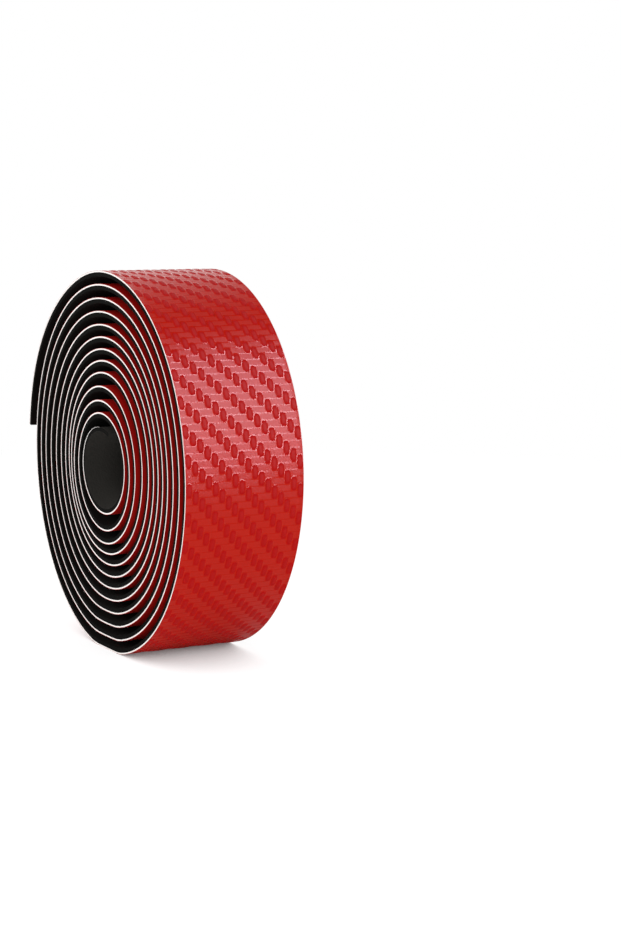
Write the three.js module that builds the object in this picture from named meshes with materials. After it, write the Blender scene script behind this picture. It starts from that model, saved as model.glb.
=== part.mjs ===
// A roll of handlebar tape: one long strip of cushioned tape, wound on itself with no core.
// The tape is a thin embossed skin on a crowned foam back, so it is thick along its middle and
// thin at both edges. It is drawn flat, in places along, across and through the tape, and one
// formula winds it. The roll lies on its side with its axis along Y. X points to the right as
// its near end face is seen, and the floor is at Z = 0.

import * as THREE from 'three';

// The tape, in millimetres
const tapeWidth = 30;
const middleThickness = 2.75;
const edgeThickness = 1.35;
const crownWidth = 14; // the part of the back that has the full thickness

// The winding, from the free inner end out to the tail
const turns = 12.31;
const holeRadius = 7.65; // from the roll's axis to the back of the tape at its inner end
const innerEndAngle = THREE.MathUtils.degToRad(62);
const windingSlack = 0.28; // air that is wound in with each turn
const turnClearance = 0.12; // the least air that is left between two turns

// A hand-wound roll is never quite round
const looseness = 0.37; // the turns are loose near the hole, tight half way, and loose again
const loosenessPeriod = 10.3; // turns
const holeOval = 0.92;
const holeOvalFade = 1.6; // turns
const sag = 0.65; // the second and third turns hang this much low
const sagBegins = [0.5, 1.7]; // turns
const sagEnds = [2.2, 4.2];

// Nor are its end faces quite flat: the inner turns stand proud and the next ones lie deep
const innerTurnsProud = 0.48;
const middleTurnsDeep = 0.66;
const proudToDeep = [2, 5];
const deepToLevel = [5.5, 10];

// The cut tail springs away from the roll
const tailLift = 2.05;
const tailLiftBegins = 0.18; // turns before the end
const tailLiftEnds = 0.03;

// The weight of a soft roll presses a small flat spot into it
const flatSpotWidth = 14;
const flatSpotBlend = 0.3; // how softly the round face runs into the flat spot
const pressReach = 15; // how deep into the roll the turns are pressed

// The skin is embossed as a two by two twill, with one point of the surface for each crossing
const yarnPitch = 1.67;
const yarnHeight = 0.2;

const stepsPerTurn = 36;
const fullTurn = 2 * Math.PI;
const { smoothstep, clamp } = THREE.MathUtils;

function windAngle(turn) {
  return innerEndAngle + turn * fullTurn;
}

// The radius of the tape's outer face. All that makes the roll uneven is in here.
function faceRadius(turn) {
  const even = holeRadius + middleThickness + (middleThickness + windingSlack) * turn;
  const loose = looseness * Math.sin(turn * fullTurn / loosenessPeriod);
  const oval = holeOval * Math.exp(-turn / holeOvalFade) * Math.cos(2 * windAngle(turn));
  const hang = sag * smoothstep(turn, ...sagBegins) * (1 - smoothstep(turn, ...sagEnds));
  const lift = tailLift * smoothstep(turn, turns - tailLiftBegins, turns - tailLiftEnds);
  return even + loose + oval - hang * Math.sin(windAngle(turn)) + lift;
}

// The foam is squeezed where its turn is wound tightly over the one inside it
function crownThickness(turn) {
  if (turn < 1) return middleThickness;
  const room = faceRadius(turn) - faceRadius(turn - 1) - turnClearance;
  return clamp(room, edgeThickness, middleThickness);
}

// How far a turn's edges stand out of the level of the end face
function endFaceShift(turn) {
  const settled = smoothstep(turn, ...proudToDeep);
  const deep = middleTurnsDeep * settled * (1 - smoothstep(turn, ...deepToLevel));
  return deep - innerTurnsProud * (1 - settled);
}

// The height of the axis over the floor, once the flat spot is pressed
const bottomAngle = -Math.PI / 2;
const lastTurnAtBottom = turns - THREE.MathUtils.euclideanModulo(
  windAngle(turns) - bottomAngle, fullTurn) / fullTurn;
const axisHeight = Math.sqrt(faceRadius(lastTurnAtBottom) ** 2 - (flatSpotWidth / 2) ** 2);

// How far the floor pushes in the outermost turn at this angle, and where that turn's face is
function floorPress(turn) {
  const outermostFace = faceRadius(turn + Math.floor(turns - turn));
  const downwards = -Math.sin(windAngle(turn));
  if (downwards < 0.5) return { outermostFace, push: 0 };
  const belowFloor = outermostFace - axisHeight / downwards;
  const blend = Math.max(flatSpotBlend - Math.abs(belowFloor), 0) ** 2 / (4 * flatSpotBlend);
  return { outermostFace, push: Math.max(belowFloor, 0) + blend };
}

// Winds one place of the flat tape: depth is measured in from the tape's outer face
function wind(turn, across, depth) {
  const radius = faceRadius(turn) - depth;
  const { outermostFace, push } = floorPress(turn);
  const share = clamp(1 - (outermostFace - radius) / pressReach, 0, 1);
  const pressedRadius = radius - push * share;
  const angle = windAngle(turn);
  return [
    pressedRadius * Math.cos(angle),
    across + endFaceShift(turn),
    axisHeight + pressedRadius * Math.sin(angle),
  ];
}

// The twill: each warp yarn passes over two weft yarns and under two, one step on from the
// yarn beside it, so its ribs run down and away across the face. The floor presses it flat.
function embossDepth(turn, column, row) {
  const warpIsUp = (column + row) % 4 < 2;
  return warpIsUp || floorPress(turn).push > 0 ? 0 : yarnHeight;
}

const positions = [];
const faces = [];

function addPoint(turn, across, depth) {
  positions.push(...wind(turn, across, depth));
  return { index: positions.length / 3 - 1, turn, across };
}

// Fills the band between two rows of points that run the same way, whatever their counts are
function fillBand(rowA, rowB, place) {
  let a = 0;
  let b = 0;
  while (a < rowA.length - 1 || b < rowB.length - 1) {
    const endOfA = a === rowA.length - 1;
    const endOfB = b === rowB.length - 1;
    if (endOfB || (!endOfA && rowA[a + 1][place] <= rowB[b + 1][place])) {
      faces.push(rowA[a].index, rowB[b].index, rowA[a + 1].index);
      a += 1;
    } else {
      faces.push(rowA[a].index, rowB[b].index, rowB[b + 1].index);
      b += 1;
    }
  }
}

// Places along the tape: the same angles in every turn, so that turns nest facet on facet
function coarseTurns(from, to) {
  const inside = [];
  for (let step = Math.floor(from * stepsPerTurn) + 1; step < to * stepsPerTurn; step += 1) {
    inside.push(step / stepsPerTurn);
  }
  return inside;
}

function tapeRollGeometry() {
  const exposedFrom = turns - 1; // the last turn's face is the one that shows
  const edges = [-tapeWidth / 2, tapeWidth / 2];
  const coveredTurns = [0, ...coarseTurns(0, exposedFrom)];
  const backTurns = [...coveredTurns, exposedFrom, ...coarseTurns(exposedFrom, turns), turns];

  // The back, in rows along the tape: thin at the edges, thick between them
  const backRows = [
    { across: edges[0], depth: () => edgeThickness },
    { across: -crownWidth / 2, depth: crownThickness },
    { across: crownWidth / 2, depth: crownThickness },
    { across: edges[1], depth: () => edgeThickness },
  ].map(({ across, depth }) => backTurns.map((turn) => addPoint(turn, across, depth(turn))));

  // The covered face is plain, and only its two edges carry points
  const coveredRows = edges.map((across) => coveredTurns.map((turn) => addPoint(turn, across, 0)));

  // The exposed face is a grid of yarn crossings
  const columns = Math.round(tapeWidth / yarnPitch);
  const exposedLength = fullTurn * faceRadius(turns - 0.5);
  const rows = Math.round(exposedLength / yarnPitch);
  const exposedRows = [];
  for (let column = 0; column <= columns; column += 1) {
    const across = edges[0] + tapeWidth * column / columns;
    const row = [];
    for (let step = 0; step <= rows; step += 1) {
      const turn = exposedFrom + step / rows;
      const atBorder = column === 0 || column === columns || step === 0 || step === rows;
      row.push(addPoint(turn, across, atBorder ? 0 : embossDepth(turn, column, step)));
    }
    exposedRows.push(row);
  }

  const [nearEdge, farEdge] = [0, 1].map((side) => [
    ...coveredRows[side], ...exposedRows[side * columns],
  ]);
  const last = (row) => row[row.length - 1];
  const coveredEnd = coveredRows.map(last);
  const exposedStart = exposedRows.map((row) => row[0]);

  fillBand(...coveredRows, 'turn');
  fillBand(exposedStart, coveredEnd, 'across');
  for (let column = 0; column < columns; column += 1) {
    fillBand(exposedRows[column], exposedRows[column + 1], 'turn');
  }
  fillBand(backRows[0], nearEdge, 'turn');
  fillBand(farEdge, backRows[3], 'turn');
  for (let strip = 0; strip < 3; strip += 1) {
    fillBand(backRows[strip + 1], backRows[strip], 'turn');
  }
  fillBand(coveredRows.map((row) => row[0]), backRows.map((row) => row[0]), 'across');
  fillBand(backRows.map(last), exposedRows.map(last), 'across');

  const geometry = new THREE.BufferGeometry();
  geometry.setAttribute('position', new THREE.Float32BufferAttribute(positions, 3));
  geometry.setIndex(faces);
  geometry.computeVertexNormals();
  return geometry;
}

const redSkin = new THREE.MeshStandardMaterial({ color: 0xb8140f, roughness: 0.45, metalness: 0 });
const tapeRoll = new THREE.Mesh(tapeRollGeometry(), redSkin);
tapeRoll.name = 'tape_roll';

const group = new THREE.Group();
group.add(tapeRoll);

export default group;
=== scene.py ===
"""A roll of handlebar tape, standing on its outermost turn.

The tape is one long strip of three layers: foam, a white backing, and an embossed red skin. Each
layer is drawn flat and wound by the same formula as the CAD solid, so it lies where the solid is.
Its sizes are in millimetres, and places along it are in turns from its inner end.
"""

import math

import bmesh
import bpy
import numpy as np
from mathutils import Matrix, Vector


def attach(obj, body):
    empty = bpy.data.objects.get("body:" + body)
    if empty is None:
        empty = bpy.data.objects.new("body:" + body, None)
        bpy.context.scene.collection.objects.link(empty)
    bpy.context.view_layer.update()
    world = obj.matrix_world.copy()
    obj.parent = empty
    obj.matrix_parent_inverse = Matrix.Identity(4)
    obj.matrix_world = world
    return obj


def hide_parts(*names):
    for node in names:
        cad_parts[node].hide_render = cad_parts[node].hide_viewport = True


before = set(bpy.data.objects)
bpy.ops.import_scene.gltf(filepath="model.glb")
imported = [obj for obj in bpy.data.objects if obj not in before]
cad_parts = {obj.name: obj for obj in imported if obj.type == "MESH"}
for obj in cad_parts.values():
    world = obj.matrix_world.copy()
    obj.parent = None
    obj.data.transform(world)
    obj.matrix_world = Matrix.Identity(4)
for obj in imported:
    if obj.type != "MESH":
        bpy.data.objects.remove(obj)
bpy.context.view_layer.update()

# Camera, floor and light. The camera stands to the right of the roll's near end face and a little
# above it, and looks along and down the tape's face. The floor and the room are plain white.
MM = 0.001
scene = bpy.context.scene
camera = bpy.data.objects.new("camera", bpy.data.cameras.new("camera"))
scene.collection.objects.link(camera)
scene.camera = camera
camera_place = Vector((460.37, -209.73, 109.41)) * MM
camera_aim = Vector((16.69, 33.08, 44.28)) * MM
camera.location = camera_place
camera.rotation_euler = (camera_aim - camera_place).to_track_quat("-Z", "Y").to_euler()
camera.data.lens = 79.82
scene.view_settings.view_transform = "Standard"


def node(tree, kind, links=None, **settings):
    """Adds a node. settings are its properties, and links are its sockets' values or sources: a
    socket, or a node, which stands for its first output."""
    made = tree.nodes.new(kind)
    for name, value in settings.items():
        setattr(made, name, value)
    for socket, source in (links or {}).items():
        if isinstance(source, bpy.types.Node):
            source = source.outputs[0]
        if isinstance(source, bpy.types.NodeSocket):
            tree.links.new(source, made.inputs[socket])
        else:
            made.inputs[socket].default_value = source
    return made


def linear(hex_colour):
    """The linear colour of an sRGB hex value."""
    parts = [int(hex_colour[i:i + 2], 16) / 255 for i in (1, 3, 5)]
    return [c / 12.92 if c <= 0.04045 else ((c + 0.055) / 1.055) ** 2.4 for c in parts] + [1]


def empty_tree(holder):
    """The holder's node tree, with nothing in it."""
    holder.use_nodes = True
    holder.node_tree.nodes.clear()
    return holder.node_tree


def looking_rays(tree):
    """The Light Path node, and a value that is 1 on the rays that see, mirror or look through."""
    path = node(tree, "ShaderNodeLightPath")
    looks = node(tree, "ShaderNodeMath", {0: path.outputs["Is Camera Ray"],
                                          1: path.outputs["Is Glossy Ray"]}, operation="MAXIMUM")
    looks = node(tree, "ShaderNodeMath", {0: looks, 1: path.outputs["Is Transmission Ray"]},
                 operation="MAXIMUM")
    return path, looks


# White paper. It is seen and mirrored as white, and it keeps the roll's shadow: part of that is
# cast by the lamps, and part is how much of the open room each place on the floor faces.
white = linear("#FFFFFF")
shadow_reach = 100 * MM
shadow_fades = (120 * MM, 400 * MM)  # the floor turns to plain white between these distances
paper = bpy.data.materials.new("white_paper")
tree = empty_tree(paper)
path, looks = looking_rays(tree)

# What it sends back at the roll
matt = node(tree, "ShaderNodeBsdfDiffuse", {"Color": linear("#F3F3F3")})
bounce = node(tree, "ShaderNodeEmission", {"Color": white, "Strength": 0.21})
matt = node(tree, "ShaderNodeAddShader", {0: matt, 1: bounce})

# What is seen of it
lit = node(tree, "ShaderNodeBsdfDiffuse", {"Color": linear("#909090")})
openness = node(tree, "ShaderNodeAmbientOcclusion", {"Distance": shadow_reach})
softened = node(tree, "ShaderNodeMath", {0: openness.outputs["AO"], 1: 0.5}, operation="POWER")
softened = node(tree, "ShaderNodeMapRange", {"Value": softened, "From Max": 0.75,
                                             "To Min": 0.06, "To Max": 0.85})
mirrored = node(tree, "ShaderNodeMath", {0: openness.outputs["AO"], 1: 3}, operation="POWER")
level = node(tree, "ShaderNodeMix", {"Factor": path.outputs["Is Glossy Ray"], "A": softened,
                                     "B": mirrored}, data_type="FLOAT")
glow = node(tree, "ShaderNodeEmission", {"Color": white, "Strength": level})
shadowed = node(tree, "ShaderNodeAddShader", {0: lit, 1: glow})
place = node(tree, "ShaderNodeTexCoord")
distance = node(tree, "ShaderNodeVectorMath", {0: place.outputs["Object"]}, operation="LENGTH")
far = node(tree, "ShaderNodeMapRange", {"Value": distance.outputs["Value"],
                                        "From Min": shadow_fades[0],
                                        "From Max": shadow_fades[1]})
plain = node(tree, "ShaderNodeEmission", {"Color": white, "Strength": 1})
shown = node(tree, "ShaderNodeMixShader", {0: far, 1: shadowed, 2: plain})
mixed = node(tree, "ShaderNodeMixShader", {0: looks, 1: matt, 2: shown})
node(tree, "ShaderNodeOutputMaterial", {"Surface": mixed})

floor_reach = 6000 * MM
floor_mesh = bmesh.new()
bmesh.ops.create_grid(floor_mesh, x_segments=1, y_segments=1, size=floor_reach)
floor_data = bpy.data.meshes.new("floor")
floor_mesh.to_mesh(floor_data)
floor_mesh.free()
floor_data.materials.append(paper)
floor = bpy.data.objects.new("floor", floor_data)
scene.collection.objects.link(floor)

# The room is seen as white, and lights everything with a plain soft light. Where it is mirrored
# it is white too, but for a wide dark card behind the softboxes that stand on the skin's side.
skin_side = (0.774, 0.411, 0.485)
world = bpy.data.worlds.new("white_room")
scene.world = world
tree = empty_tree(world)
path, looks = looking_rays(tree)
soft = node(tree, "ShaderNodeBackground", {"Color": white, "Strength": 0.65})
way = node(tree, "ShaderNodeTexCoord")
way = node(tree, "ShaderNodeVectorMath", {0: way.outputs["Generated"], 1: skin_side},
           operation="DOT_PRODUCT")
card = node(tree, "ShaderNodeMapRange", {"Value": way.outputs["Value"], "From Min": 0.05,
                                         "From Max": 0.5, "To Min": 1, "To Max": 0})
card = node(tree, "ShaderNodeMath", {0: card, 1: path.outputs["Is Camera Ray"]},
            operation="MAXIMUM")
plain = node(tree, "ShaderNodeBackground", {"Color": white, "Strength": card})
mixed = node(tree, "ShaderNodeMixShader", {0: looks, 1: soft, 2: plain})
node(tree, "ShaderNodeOutputWorld", {"Surface": mixed})

# Four softboxes. Two light the roll: a small one on the skin's side, and a broad one that faces
# the end of the roll. Two are only mirrored: a tall strip, which leans so that its reflection
# follows the skin's curve as a broad band, and a weak one, for a sheen along the top.
# Each has its direction, its width and height in metres, how far it leans in degrees, its colour,
# its power, and whether it lights what it shines on.
roll_centre = Vector((0, 0, 45.5)) * MM
softbox_distance = 900 * MM
softboxes = [("skin_softbox", skin_side, (0.3, 0.4), 0, (1, 1, 1), 2.3, True),
             ("end_softbox", (-0.25, -0.9, 0.35), (0.8, 0.8), 0, (1, 1, 1), 4.5, True),
             ("gloss_strip", (0.74, 0.47, 0.46), (0.28, 1.25), -18.7, (1, 1, 1.2), 28.0, False),
             ("top_gloss", (-0.79, 0.48, 0.4), (0.5, 0.35), 0, (1, 1, 1), 0.3, False)]
for name, direction, size, lean, colour, power, lights_roll in softboxes:
    lamp = bpy.data.objects.new(name, bpy.data.lights.new(name, "AREA"))
    scene.collection.objects.link(lamp)
    direction = Vector(direction).normalized()
    lamp.location = roll_centre + direction * softbox_distance
    lamp.rotation_euler = direction.to_track_quat("Z", "Y").to_euler()
    lamp.rotation_euler.rotate_axis("Z", math.radians(lean))
    lamp.data.shape = "RECTANGLE"
    lamp.data.size, lamp.data.size_y = size
    lamp.data.color = colour
    lamp.data.energy = power
    lamp.visible_diffuse = lights_roll


# Foam back. A strip of black closed-cell foam, 2.4 mm thick along its middle and skived to 1 mm at
# both edges. It is cut square at its ends, and wound on itself with its back to the hole.
tape_width = 30
middle_thickness = 2.75
edge_thickness = 1.35
crown_width = 14  # the part of the back that has the full thickness
foam_top = 0.39  # how deep under the tape's face the foam begins
hole_lining_ends = 1.01  # turns: the foam's back is the wall of the hole up to here
foam_columns = 17
steps_per_turn = 96
sharp_edge = math.radians(50)

# The winding, as in the CAD solid
turns = 12.31
hole_radius = 7.65  # from the roll's axis to the back of the tape at its inner end
inner_end_angle = math.radians(62)
winding_slack = 0.28  # air that is wound in with each turn
turn_clearance = 0.12  # the least air that is left between two turns

# A hand-wound roll is never quite round
looseness = 0.37  # the turns are loose near the hole, tight half way, and loose again
looseness_period = 10.3  # turns
hole_oval = 0.92
hole_oval_fade = 1.6  # turns
sag = 0.65  # the second and third turns hang this much low
sag_begins = (0.5, 1.7)
sag_ends = (2.2, 4.2)

# Nor are its end faces quite flat: the inner turns stand proud and the next ones lie deep
inner_turns_proud = 0.48
middle_turns_deep = 0.66
proud_to_deep = (2, 5)
deep_to_level = (5.5, 10)

# The cut tail springs away from the roll, and the floor presses a small flat spot into it
tail_lift = 2.05
tail_lift_turns = (turns - 0.18, turns - 0.03)
flat_spot_width = 14
flat_spot_blend = 0.3
press_reach = 15  # how deep into the roll the turns are pressed
lower_part = 0.5  # the floor presses only where the way out from the axis falls this steeply


def smoothstep(value, low, high):
    """Rises from 0 at low to 1 at high, level at both ends."""
    share = np.clip((value - low) / (high - low), 0, 1)
    return share * share * (3 - 2 * share)


def wind_angle(turn):
    """The angle round the roll's axis, from the right, of a place along the tape."""
    return inner_end_angle + turn * math.tau


def face_radius(turn):
    """The radius of the tape's outer face, which the winding makes a little uneven."""
    angle = wind_angle(turn)
    even = hole_radius + middle_thickness + (middle_thickness + winding_slack) * turn
    loose = looseness * np.sin(turn * math.tau / looseness_period)
    oval = hole_oval * np.exp(-turn / hole_oval_fade) * np.cos(2 * angle)
    hang = sag * smoothstep(turn, *sag_begins) * (1 - smoothstep(turn, *sag_ends))
    lift = tail_lift * smoothstep(turn, *tail_lift_turns)
    return even + loose + oval - hang * np.sin(angle) + lift


def end_face_shift(turn):
    """How far a turn's edges lie behind the level of the end face."""
    settled = smoothstep(turn, *proud_to_deep)
    deep = middle_turns_deep * settled * (1 - smoothstep(turn, *deep_to_level))
    return deep - inner_turns_proud * (1 - settled)


lowest_turn = turns - ((wind_angle(turns) + math.pi / 2) % math.tau) / math.tau
axis_height = math.sqrt(face_radius(lowest_turn) ** 2 - (flat_spot_width / 2) ** 2)


def floor_press(turn):
    """Where the outermost turn's face is at this angle, and how far the floor pushes it in."""
    outermost = face_radius(turn + np.floor(turns - turn))
    downwards = -np.sin(wind_angle(turn))
    below_floor = outermost - axis_height / np.maximum(downwards, lower_part)
    blend = np.maximum(flat_spot_blend - np.abs(below_floor), 0) ** 2 / (4 * flat_spot_blend)
    push = np.where(downwards > lower_part, np.maximum(below_floor, 0) + blend, 0)
    return outermost, push


def wind(turn, across, depth):
    """Winds places of the flat tape into the roll, and gives them in metres."""
    radius = face_radius(turn) - depth
    outermost, push = floor_press(turn)
    radius = radius - push * np.clip(1 - (outermost - radius) / press_reach, 0, 1)
    angle = wind_angle(turn)
    x = radius * np.cos(angle)
    z = axis_height + radius * np.sin(angle)
    return np.stack([x, across + end_face_shift(turn), z], axis=1) * MM


def wound_layer(name, columns, first_turn, last_turn, steps, depth, closed=True):
    """Makes one layer of the tape as a flat strip, and winds it.

    columns are the places across the tape. depth gives how deep each point lies, from its turn,
    its place across, and whether it is on the layer's outer face. A layer that isn't closed has
    its outer face and its cut edges only.
    """
    flat = bmesh.new()
    bmesh.ops.create_grid(flat, x_segments=len(columns) - 1, y_segments=steps, size=1)
    if closed:
        made = bmesh.ops.extrude_face_region(flat, geom=flat.faces[:])
    else:
        border = [edge for edge in flat.edges if edge.is_boundary]
        made = bmesh.ops.extrude_edge_only(flat, edges=border)
    lower = [part for part in made["geom"] if isinstance(part, bmesh.types.BMVert)]
    bmesh.ops.translate(flat, verts=lower, vec=(0, 0, -1))
    bmesh.ops.recalc_face_normals(flat, faces=flat.faces[:])
    mesh = bpy.data.meshes.new(name)
    flat.to_mesh(mesh)
    flat.free()

    places = np.empty(len(mesh.vertices) * 3)
    mesh.vertices.foreach_get("co", places)
    places = places.reshape(-1, 3)
    across = np.interp(places[:, 0], np.linspace(-1, 1, len(columns)), columns)
    turn = first_turn + (last_turn - first_turn) * (places[:, 1] + 1) / 2
    outer = places[:, 2] > -0.5
    wound = wind(turn, across, depth(turn, across, outer))
    mesh.vertices.foreach_set("co", wound.ravel())
    mesh.update()
    mesh.shade_smooth()
    mesh.set_sharp_from_angle(angle=sharp_edge)
    layer = bpy.data.objects.new(name, mesh)
    scene.collection.objects.link(layer)
    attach(layer, "root")
    return layer, turn, across


def foam_depth(turn, across, outer):
    """The foam's back is crowned: full along the middle, thin at the edges. It is squeezed where
    its turn is wound tightly over the one inside it."""
    room = face_radius(turn) - face_radius(np.maximum(turn - 1, 0)) - turn_clearance
    crown = np.where(turn < 1, middle_thickness, np.clip(room, edge_thickness, middle_thickness))
    fall = smoothstep(np.abs(across), crown_width / 2, tape_width / 2)
    return np.where(outer, foam_top, crown + (edge_thickness - crown) * fall)


foam, foam_turn, _ = wound_layer(
    "foam_back", np.linspace(-tape_width / 2, tape_width / 2, foam_columns), 0, turns,
    round(turns * steps_per_turn), foam_depth)
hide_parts("tape_roll")
# Marks the back that lines the hole, which gets painted light on the hole's wall
lines_hole = foam.data.attributes.new("lines_hole", "FLOAT", "POINT")
lines_hole.data.foreach_set("value", np.where(foam_turn < hole_lining_ends, 1.0, 0.0))

# Closed-cell foam, sliced: dull and nearly black, with open cells on every face. Its sliced back
# is a little paler than its cut edges. Where it lines the hole it is painted paler: painted light.
# The cells are about 0.2 mm wide, and are drawn at 0.5 mm so that they show.
cell_size = 0.5 * MM
cell_depth = 0.08 * MM
blotch_size = 6 * MM
edge_tones = ("#070706", "#11100E")
back_tone = "#12110F"
# The hole's wall is painted lighter: painted light, not the foam's own colour
hole_painted_light = "#383633"
facing_an_end = 0.8  # how squarely a face looks along the roll's axis, from 0 to 1
foam_black = bpy.data.materials.new("closed_cell_foam")
tree = empty_tree(foam_black)
place = node(tree, "ShaderNodeTexCoord")
cells = node(tree, "ShaderNodeTexVoronoi", {"Vector": place.outputs["Object"],
                                            "Scale": 1 / cell_size})
blotches = node(tree, "ShaderNodeTexNoise", {"Vector": place.outputs["Object"],
                                             "Scale": 1 / blotch_size, "Detail": 3})
# A Mix node's colour is its output 2
tone = node(tree, "ShaderNodeMix", {"Factor": blotches, "A": linear(edge_tones[0]),
                                    "B": linear(edge_tones[1])}, data_type="RGBA")
facing = node(tree, "ShaderNodeNewGeometry")
facing = node(tree, "ShaderNodeSeparateXYZ", {0: facing.outputs["Normal"]})
cut = node(tree, "ShaderNodeMath", {0: facing.outputs["Y"]}, operation="ABSOLUTE")
cut = node(tree, "ShaderNodeMath", {0: cut, 1: facing_an_end}, operation="GREATER_THAN")
# Painted light: the back that lines the hole gets the lighter hole tone
in_hole = node(tree, "ShaderNodeAttribute", attribute_name="lines_hole")
back = node(tree, "ShaderNodeMix", {"Factor": in_hole.outputs["Fac"], "A": linear(back_tone),
                                    "B": linear(hole_painted_light)}, data_type="RGBA")
tone = node(tree, "ShaderNodeMix", {"Factor": cut, "A": back.outputs[2],
                                    "B": tone.outputs[2]}, data_type="RGBA")
pits = node(tree, "ShaderNodeBump", {"Height": cells.outputs["Distance"], "Strength": 0.5,
                                     "Distance": cell_depth})
body = node(tree, "ShaderNodeBsdfPrincipled", {"Base Color": tone.outputs[2], "Roughness": 0.95,
                                               "Specular IOR Level": 0.05, "Normal": pits})
node(tree, "ShaderNodeOutputMaterial", {"Surface": body})
foam.data.materials.append(foam_black)


# White backing. A thin white sheet that is laminated between the foam and the skin. It is seen
# only at the cut edges of the tape, as a pale line in every turn. Where the tape begins it is
# skived, and thins out to nothing.
backing_top = 0.06
backing_middle = 0.25  # it lies deeper under the embossed skin than at its edges
backing_bottom = 0.4
backing_border = 0.6  # how wide its raised edges are
skived_turns = (0.1, 0.36)
skived_thickness = 0.05  # where the skived part begins
sunk_top = 0.5  # where no skin covers it, its middle lies inside the foam
sunk_bottom = 0.55
on_border = 0.001  # a point this near a border, in millimetres or turns, lies on it


def backing_depth(turn, across, outer):
    """The backing comes up to the skin all round its edge. Where it is skived, its edges thin
    out, and between them it is sunk in the foam."""
    at_edge = (np.abs(across) > tape_width / 2 - on_border) | (turn > turns - on_border)
    sunk = ~at_edge & (turn < skived_turns[1] - on_border)
    thinned = backing_bottom - skived_thickness
    edge_top = thinned + (backing_top - thinned) * smoothstep(turn, *skived_turns)
    top = np.where(at_edge, edge_top, np.where(sunk, sunk_top, backing_middle))
    return np.where(outer, top, np.where(sunk, sunk_bottom, backing_bottom))


backing_columns = [-tape_width / 2, backing_border - tape_width / 2,
                   tape_width / 2 - backing_border, tape_width / 2]
backing, _, _ = wound_layer("skin_backing", backing_columns, skived_turns[0], turns,
                            round(turns * steps_per_turn), backing_depth)

# Non-woven polyurethane sheet, knife-cut: matt, off-white, a little grey where it is bruised.
bruise_size = 2 * MM
sheet_tones = ("#E4DDD9", "#FAF6F3")
sheet_white = bpy.data.materials.new("polyurethane_backing")
tree = empty_tree(sheet_white)
place = node(tree, "ShaderNodeTexCoord")
bruises = node(tree, "ShaderNodeTexNoise", {"Vector": place.outputs["Object"],
                                            "Scale": 1 / bruise_size, "Detail": 4})
tone = node(tree, "ShaderNodeMix", {"Factor": bruises, "A": linear(sheet_tones[0]),
                                    "B": linear(sheet_tones[1])}, data_type="RGBA")
body = node(tree, "ShaderNodeBsdfPrincipled", {"Base Color": tone.outputs[2],
                                               "Roughness": 0.7})
node(tree, "ShaderNodeOutputMaterial", {"Surface": body})
backing.data.materials.append(sheet_white)


# Covered skin. The red film of the turns that lie under others, laminated to the backing. It is
# plain here, since only its edge and a sliver of its face are seen between the turns.
film_thickness = 0.06
exposed_turns = 1.1  # the last turn, and what shows under the lifted tail


def film_depth(turn, across, outer):
    """The film has the same thickness everywhere."""
    return np.where(outer, 0, film_thickness)


covered, _, _ = wound_layer("skin_covered", [-tape_width / 2, tape_width / 2], skived_turns[1],
                            turns - exposed_turns,
                            round((turns - exposed_turns) * steps_per_turn), film_depth)

# Polyurethane film, in the shade between the turns: the skin's full red, in a satin gloss.
plain_red = bpy.data.materials.new("plain_polyurethane_film")
tree = empty_tree(plain_red)
body = node(tree, "ShaderNodeBsdfPrincipled", {"Base Color": linear("#B80E09"),
                                               "Roughness": 0.45,
                                               "Specular IOR Level": 0.25})
node(tree, "ShaderNodeOutputMaterial", {"Surface": body})
covered.data.materials.append(plain_red)


# Embossed skin. The skin of the outermost turn: a red polyurethane film, heat-embossed as a two by
# two twill. The crosswise yarns lie flat, and the lengthwise ones come up between them as small
# ovals. Its ribs run down and away across the tape.
yarn_pitch = 1.67
twill_repeat = 4  # yarns
weave_start = 2.68  # how many yarns along the repeat the last turn starts
oval_rise = 0.12
oval_width = 0.86  # of the lengthwise yarn's pitch
oval_length = 0.98  # of two crosswise yarns' pitch
oval_squareness = 4  # 2 is a true oval, and more is squarer
cells_per_yarn = 5
yarns_across = round(tape_width / yarn_pitch)
yarns_per_turn = round(math.tau * face_radius(turns - 0.5) / yarn_pitch)
border_round = 0.8  # how wide the plain rounded border is
border_depth = 0.03
press_fade = 0.1  # the floor's push that presses the weave quite flat


def weave_place(turn, across):
    """The place in yarns: lengthwise ones counted across the tape, crosswise ones along it."""
    return ((across / tape_width + 0.5) * yarns_across,
            (turn - (turns - 1)) * yarns_per_turn + weave_start)


def embossed_depth(turn, across, outer):
    """The relief fades out at the tape's cut edges and where the floor presses it flat."""
    column, row = weave_place(turn, across)
    along = ((row + np.floor(column)) % twill_repeat - 1) / oval_length
    aside = (2 * (column % 1) - 1) / oval_width
    oval = np.clip(1 - along ** oval_squareness - aside ** oval_squareness, 0, 1)
    from_edge = tape_width / 2 - np.abs(across)
    from_end = (turns - turn) * math.tau * face_radius(turns)
    inside = smoothstep(np.minimum(from_edge, from_end), 0, border_round)
    pressed = smoothstep(floor_press(turn)[1], 0, press_fade)
    relief = oval_rise * (1 - oval) * inside * (1 - pressed) + border_depth * (1 - inside)
    return np.where(outer, relief, film_thickness)


film, film_turn, film_across = wound_layer(
    "skin_embossed",
    np.linspace(-tape_width / 2, tape_width / 2, yarns_across * cells_per_yarn + 1),
    turns - exposed_turns, turns,
    round(exposed_turns * yarns_per_turn * cells_per_yarn), embossed_depth, closed=False)

column, row = weave_place(film_turn, film_across)
corners = np.empty(len(film.data.loops), dtype=np.int32)
film.data.loops.foreach_get("vertex_index", corners)
yarns_map = film.data.uv_layers.new(name="yarns")
yarns_map.data.foreach_set("uv", np.stack([column, row], axis=1)[corners].ravel())
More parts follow.
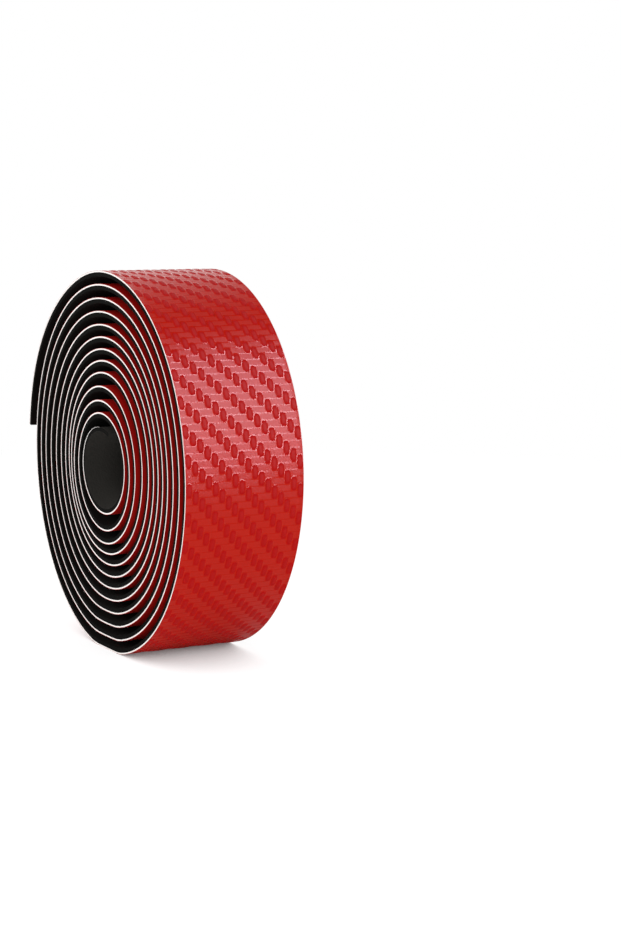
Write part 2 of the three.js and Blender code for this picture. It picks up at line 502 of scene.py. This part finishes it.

# Polyurethane film, embossed: one full red. It is semi-gloss on the crosswise yarns, glossiest
# along their borders, and duller on the ovals, whose deeper red is painted shade. Fine threads run
# along each yarn, about 0.15 mm apart, and are drawn at 0.42 mm, four to a yarn, so that they
# show.
# So is the grain that breaks up the gloss between them: it is drawn at 0.4 mm, and is really about
# 0.1 mm.
threads_per_yarn = 4
grain_size = 0.4 * MM
grain_height = 3  # of the threads' height
thread_depth = 0.005 * MM
flat_tone = "#B41705"
# The ovals' deeper red is painted shade: the film itself is one red
oval_shade_tone = "#AB0300"
flat_glint = "#CEBDB8"  # what the gloss is tinted with
oval_glint = "#CBA29B"
film_red = bpy.data.materials.new("embossed_polyurethane_film")
tree = empty_tree(film_red)

# The place on the weave, as in embossed_depth. oval is 1 in the middle of an oval, 0 on its rim,
# and less than that on the flat yarns.
yarns = node(tree, "ShaderNodeUVMap", uv_map="yarns")
yarns = node(tree, "ShaderNodeSeparateXYZ", {0: yarns})
column, row = yarns.outputs["X"], yarns.outputs["Y"]
whole_column = node(tree, "ShaderNodeMath", {0: column}, operation="FLOOR")
along = node(tree, "ShaderNodeMath", {0: row, 1: whole_column}, operation="ADD")
along = node(tree, "ShaderNodeMath", {0: along, 1: twill_repeat}, operation="FLOORED_MODULO")
along = node(tree, "ShaderNodeMath", {0: along, 1: 1 / oval_length, 2: -1 / oval_length},
             operation="MULTIPLY_ADD")
along = node(tree, "ShaderNodeMath", {0: along, 1: oval_squareness}, operation="POWER")
aside = node(tree, "ShaderNodeMath", {0: column}, operation="FRACT")
aside = node(tree, "ShaderNodeMath", {0: aside, 1: 2 / oval_width, 2: -1 / oval_width},
             operation="MULTIPLY_ADD")
aside = node(tree, "ShaderNodeMath", {0: aside, 1: oval_squareness}, operation="POWER")
oval = node(tree, "ShaderNodeMath", {0: 1, 1: along}, operation="SUBTRACT")
oval = node(tree, "ShaderNodeMath", {0: oval, 1: aside}, operation="SUBTRACT")
on_oval = node(tree, "ShaderNodeMapRange", {"Value": oval, "From Min": 0, "From Max": 0.15})

# The glossy borders: round each oval, and between one crosswise yarn and the next
by_oval = node(tree, "ShaderNodeMapRange", {"Value": oval, "From Min": -1.0, "From Max": -0.8})
by_row = node(tree, "ShaderNodeMath", {0: row}, operation="FRACT")
by_row = node(tree, "ShaderNodeMath", {0: by_row, 1: 0.5}, operation="SUBTRACT")
by_row = node(tree, "ShaderNodeMath", {0: by_row}, operation="ABSOLUTE")
by_row = node(tree, "ShaderNodeMapRange", {"Value": by_row, "From Min": 0.4, "From Max": 0.44})
border = node(tree, "ShaderNodeMath", {0: by_oval, 1: by_row}, operation="MAXIMUM")
flat_dullness = node(tree, "ShaderNodeMapRange", {"Value": border, "To Min": 0.38,
                                                  "To Max": 0.13})
oval_dullness = node(tree, "ShaderNodeMapRange", {"Value": oval, "From Min": 0.5,
                                                  "To Min": 1, "To Max": 0.6})
dullness = node(tree, "ShaderNodeMix", {"Factor": on_oval, "A": flat_dullness,
                                        "B": oval_dullness}, data_type="FLOAT")

# The threads lie across the tape on the flat yarns, half as high as those along it on the ovals
flat_threads = node(tree, "ShaderNodeMath", {0: row, 1: math.tau * threads_per_yarn},
                    operation="MULTIPLY")
flat_threads = node(tree, "ShaderNodeMath", {0: flat_threads}, operation="COSINE")
flat_threads = node(tree, "ShaderNodeMath", {0: flat_threads, 1: 0.5}, operation="MULTIPLY")
oval_threads = node(tree, "ShaderNodeMath", {0: column, 1: math.tau * threads_per_yarn},
                    operation="MULTIPLY")
oval_threads = node(tree, "ShaderNodeMath", {0: oval_threads}, operation="COSINE")
threads = node(tree, "ShaderNodeMix", {"Factor": on_oval, "A": flat_threads,
                                       "B": oval_threads}, data_type="FLOAT")
place = node(tree, "ShaderNodeTexCoord")
grain = node(tree, "ShaderNodeTexNoise", {"Vector": place.outputs["Object"],
                                          "Scale": 1 / grain_size, "Detail": 2})
surface = node(tree, "ShaderNodeMath", {0: grain, 1: grain_height, 2: threads},
               operation="MULTIPLY_ADD")
off_border = node(tree, "ShaderNodeMath", {0: 1, 1: border}, operation="SUBTRACT")
thread_bump = node(tree, "ShaderNodeBump", {"Height": surface, "Strength": off_border,
                                            "Distance": thread_depth})
# The ovals get the painted shade, a deeper red than the flat yarns
tone = node(tree, "ShaderNodeMix", {"Factor": on_oval, "A": linear(flat_tone),
                                    "B": linear(oval_shade_tone)}, data_type="RGBA")
glint = node(tree, "ShaderNodeMix", {"Factor": on_oval, "A": linear(flat_glint),
                                     "B": linear(oval_glint)}, data_type="RGBA")
body = node(tree, "ShaderNodeBsdfPrincipled", {"Base Color": tone.outputs[2],
                                               "Roughness": dullness,
                                               "Specular IOR Level": 0.19,
                                               "Specular Tint": glint.outputs[2],
                                               "Normal": thread_bump})
node(tree, "ShaderNodeOutputMaterial", {"Surface": body})
film.data.materials.append(film_red)
